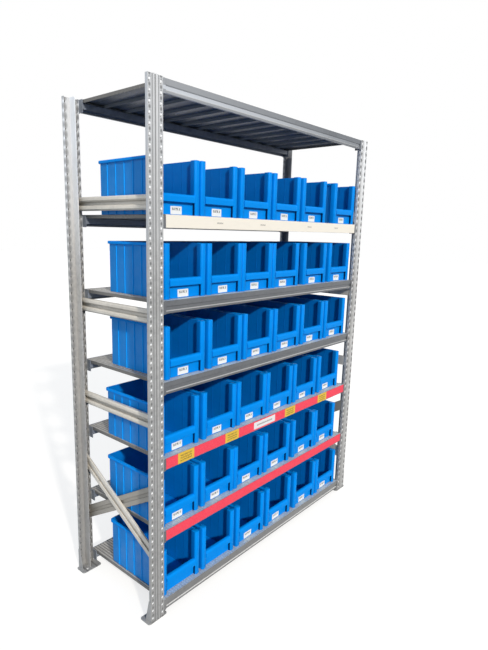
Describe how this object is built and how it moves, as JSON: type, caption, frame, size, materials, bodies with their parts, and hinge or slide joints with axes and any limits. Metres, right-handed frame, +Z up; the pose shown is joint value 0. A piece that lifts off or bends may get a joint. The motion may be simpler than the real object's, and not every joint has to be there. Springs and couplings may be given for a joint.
{
  "type": "bin shelving",
  "caption": "Boltless steel shelving with perforated uprights, plank decks and braced side frames, carrying rows of open-fronted plastic bins that pull out to the front.",
  "frame": {"origin": "on the floor, under the middle of the rack's overall box", "axes": "+Z up, +X to the right of someone facing the bins' open fronts, -Y out of the front"},
  "size_m": [1.546, 0.508, 2],
  "materials": {
    "galvanised_steel": "galvanised sheet, dull with a faint spangle",
    "rivet_steel": "zinc plated",
    "bin_plastic": "moulded, satin",
    "cream_card": "matt",
    "red_card": "matt"
  },
  "bodies": {
    "rack": {"upright_front_left": "galvanised_steel", "upright_front_right": "galvanised_steel", "upright_rear_left": "galvanised_steel", "upright_rear_right": "galvanised_steel", "foot_plates": "galvanised_steel", "frame_braces": "galvanised_steel", "cross_braces": "galvanised_steel", "frame_rivets": "rivet_steel", "rear_beams": "galvanised_steel", "cream_strip": "cream_card", "red_strips": "red_card", "front_beam_shelf1": "galvanised_steel", "front_beam_shelf2": "galvanised_steel", "front_beam_shelf3": "galvanised_steel", "front_beam_shelf4": "galvanised_steel", "front_beam_shelf5": "galvanised_steel", "front_beam_shelf6": "galvanised_steel", "front_beam_top_shelf": "galvanised_steel", "planks_lower_decks": "galvanised_steel", "planks_upper_decks": "galvanised_steel", "planks_top_deck": "galvanised_steel"},
    "bin_row1_1": {"bin_row1_1": "bin_plastic"},
    "bin_row1_2": {"bin_row1_2": "bin_plastic"},
    "bin_row1_3": {"bin_row1_3": "bin_plastic"},
    "bin_row1_4": {"bin_row1_4": "bin_plastic"},
    "bin_row1_5": {"bin_row1_5": "bin_plastic"},
    "bin_row1_6": {"bin_row1_6": "bin_plastic"},
    "bin_row2_1": {"bin_row2_1": "bin_plastic"},
    "bin_row2_2": {"bin_row2_2": "bin_plastic"},
    "bin_row2_3": {"bin_row2_3": "bin_plastic"},
    "bin_row2_4": {"bin_row2_4": "bin_plastic"},
    "bin_row2_5": {"bin_row2_5": "bin_plastic"},
    "bin_row2_6": {"bin_row2_6": "bin_plastic"},
    "bin_row3_1": {"bin_row3_1": "bin_plastic"},
    "bin_row3_2": {"bin_row3_2": "bin_plastic"},
    "bin_row3_3": {"bin_row3_3": "bin_plastic"},
    "bin_row3_4": {"bin_row3_4": "bin_plastic"},
    "bin_row3_5": {"bin_row3_5": "bin_plastic"},
    "bin_row3_6": {"bin_row3_6": "bin_plastic"},
    "bin_row4_1": {"bin_row4_1": "bin_plastic"},
    "bin_row4_2": {"bin_row4_2": "bin_plastic"},
    "bin_row4_3": {"bin_row4_3": "bin_plastic"},
    "bin_row4_4": {"bin_row4_4": "bin_plastic"},
    "bin_row4_5": {"bin_row4_5": "bin_plastic"},
    "bin_row4_6": {"bin_row4_6": "bin_plastic"},
    "bin_row5_1": {"bin_row5_1": "bin_plastic"},
    "bin_row5_2": {"bin_row5_2": "bin_plastic"},
    "bin_row5_3": {"bin_row5_3": "bin_plastic"},
    "bin_row5_4": {"bin_row5_4": "bin_plastic"},
    "bin_row5_5": {"bin_row5_5": "bin_plastic"},
    "bin_row5_6": {"bin_row5_6": "bin_plastic"},
    "bin_row6_1": {"bin_row6_1": "bin_plastic"},
    "bin_row6_2": {"bin_row6_2": "bin_plastic"},
    "bin_row6_3": {"bin_row6_3": "bin_plastic"},
    "bin_row6_4": {"bin_row6_4": "bin_plastic"},
    "bin_row6_5": {"bin_row6_5": "bin_plastic"},
    "bin_row6_6": {"bin_row6_6": "bin_plastic"}
  },
  "joints": [
    {"name": "bin_row1_1_slide", "type": "slide", "parent": "rack", "child": "bin_row1_1", "axis": [0, -1, 0], "range_m": [0, 0.4]},
    {"name": "bin_row1_2_slide", "type": "slide", "parent": "rack", "child": "bin_row1_2", "axis": [0, -1, 0], "range_m": [0, 0.4]},
    {"name": "bin_row1_3_slide", "type": "slide", "parent": "rack", "child": "bin_row1_3", "axis": [0, -1, 0], "range_m": [0, 0.4]},
    {"name": "bin_row1_4_slide", "type": "slide", "parent": "rack", "child": "bin_row1_4", "axis": [0, -1, 0], "range_m": [0, 0.4]},
    {"name": "bin_row1_5_slide", "type": "slide", "parent": "rack", "child": "bin_row1_5", "axis": [0, -1, 0], "range_m": [0, 0.4]},
    {"name": "bin_row1_6_slide", "type": "slide", "parent": "rack", "child": "bin_row1_6", "axis": [0, -1, 0], "range_m": [0, 0.4]},
    {"name": "bin_row2_1_slide", "type": "slide", "parent": "rack", "child": "bin_row2_1", "axis": [0, -1, 0], "range_m": [0, 0.4]},
    {"name": "bin_row2_2_slide", "type": "slide", "parent": "rack", "child": "bin_row2_2", "axis": [0, -1, 0], "range_m": [0, 0.4]},
    {"name": "bin_row2_3_slide", "type": "slide", "parent": "rack", "child": "bin_row2_3", "axis": [0, -1, 0], "range_m": [0, 0.4]},
    {"name": "bin_row2_4_slide", "type": "slide", "parent": "rack", "child": "bin_row2_4", "axis": [0, -1, 0], "range_m": [0, 0.4]},
    {"name": "bin_row2_5_slide", "type": "slide", "parent": "rack", "child": "bin_row2_5", "axis": [0, -1, 0], "range_m": [0, 0.4]},
    {"name": "bin_row2_6_slide", "type": "slide", "parent": "rack", "child": "bin_row2_6", "axis": [0, -1, 0], "range_m": [0, 0.4]},
    {"name": "bin_row3_1_slide", "type": "slide", "parent": "rack", "child": "bin_row3_1", "axis": [0, -1, 0], "range_m": [0, 0.4]},
    {"name": "bin_row3_2_slide", "type": "slide", "parent": "rack", "child": "bin_row3_2", "axis": [0, -1, 0], "range_m": [0, 0.4]},
    {"name": "bin_row3_3_slide", "type": "slide", "parent": "rack", "child": "bin_row3_3", "axis": [0, -1, 0], "range_m": [0, 0.4]},
    {"name": "bin_row3_4_slide", "type": "slide", "parent": "rack", "child": "bin_row3_4", "axis": [0, -1, 0], "range_m": [0, 0.4]},
    {"name": "bin_row3_5_slide", "type": "slide", "parent": "rack", "child": "bin_row3_5", "axis": [0, -1, 0], "range_m": [0, 0.4]},
    {"name": "bin_row3_6_slide", "type": "slide", "parent": "rack", "child": "bin_row3_6", "axis": [0, -1, 0], "range_m": [0, 0.4]},
    {"name": "bin_row4_1_slide", "type": "slide", "parent": "rack", "child": "bin_row4_1", "axis": [0, -1, 0], "range_m": [0, 0.4]},
    {"name": "bin_row4_2_slide", "type": "slide", "parent": "rack", "child": "bin_row4_2", "axis": [0, -1, 0], "range_m": [0, 0.4]},
    {"name": "bin_row4_3_slide", "type": "slide", "parent": "rack", "child": "bin_row4_3", "axis": [0, -1, 0], "range_m": [0, 0.4]},
    {"name": "bin_row4_4_slide", "type": "slide", "parent": "rack", "child": "bin_row4_4", "axis": [0, -1, 0], "range_m": [0, 0.4]},
    {"name": "bin_row4_5_slide", "type": "slide", "parent": "rack", "child": "bin_row4_5", "axis": [0, -1, 0], "range_m": [0, 0.4]},
    {"name": "bin_row4_6_slide", "type": "slide", "parent": "rack", "child": "bin_row4_6", "axis": [0, -1, 0], "range_m": [0, 0.4]},
    {"name": "bin_row5_1_slide", "type": "slide", "parent": "rack", "child": "bin_row5_1", "axis": [0, -1, 0], "range_m": [0, 0.4]},
    {"name": "bin_row5_2_slide", "type": "slide", "parent": "rack", "child": "bin_row5_2", "axis": [0, -1, 0], "range_m": [0, 0.4]},
    {"name": "bin_row5_3_slide", "type": "slide", "parent": "rack", "child": "bin_row5_3", "axis": [0, -1, 0], "range_m": [0, 0.4]},
    {"name": "bin_row5_4_slide", "type": "slide", "parent": "rack", "child": "bin_row5_4", "axis": [0, -1, 0], "range_m": [0, 0.4]},
    {"name": "bin_row5_5_slide", "type": "slide", "parent": "rack", "child": "bin_row5_5", "axis": [0, -1, 0], "range_m": [0, 0.4]},
    {"name": "bin_row5_6_slide", "type": "slide", "parent": "rack", "child": "bin_row5_6", "axis": [0, -1, 0], "range_m": [0, 0.4]},
    {"name": "bin_row6_1_slide", "type": "slide", "parent": "rack", "child": "bin_row6_1", "axis": [0, -1, 0], "range_m": [0, 0.4]},
    {"name": "bin_row6_2_slide", "type": "slide", "parent": "rack", "child": "bin_row6_2", "axis": [0, -1, 0], "range_m": [0, 0.4]},
    {"name": "bin_row6_3_slide", "type": "slide", "parent": "rack", "child": "bin_row6_3", "axis": [0, -1, 0], "range_m": [0, 0.4]},
    {"name": "bin_row6_4_slide", "type": "slide", "parent": "rack", "child": "bin_row6_4", "axis": [0, -1, 0], "range_m": [0, 0.4]},
    {"name": "bin_row6_5_slide", "type": "slide", "parent": "rack", "child": "bin_row6_5", "axis": [0, -1, 0], "range_m": [0, 0.4]},
    {"name": "bin_row6_6_slide", "type": "slide", "parent": "rack", "child": "bin_row6_6", "axis": [0, -1, 0], "range_m": [0, 0.4]}
  ]
}
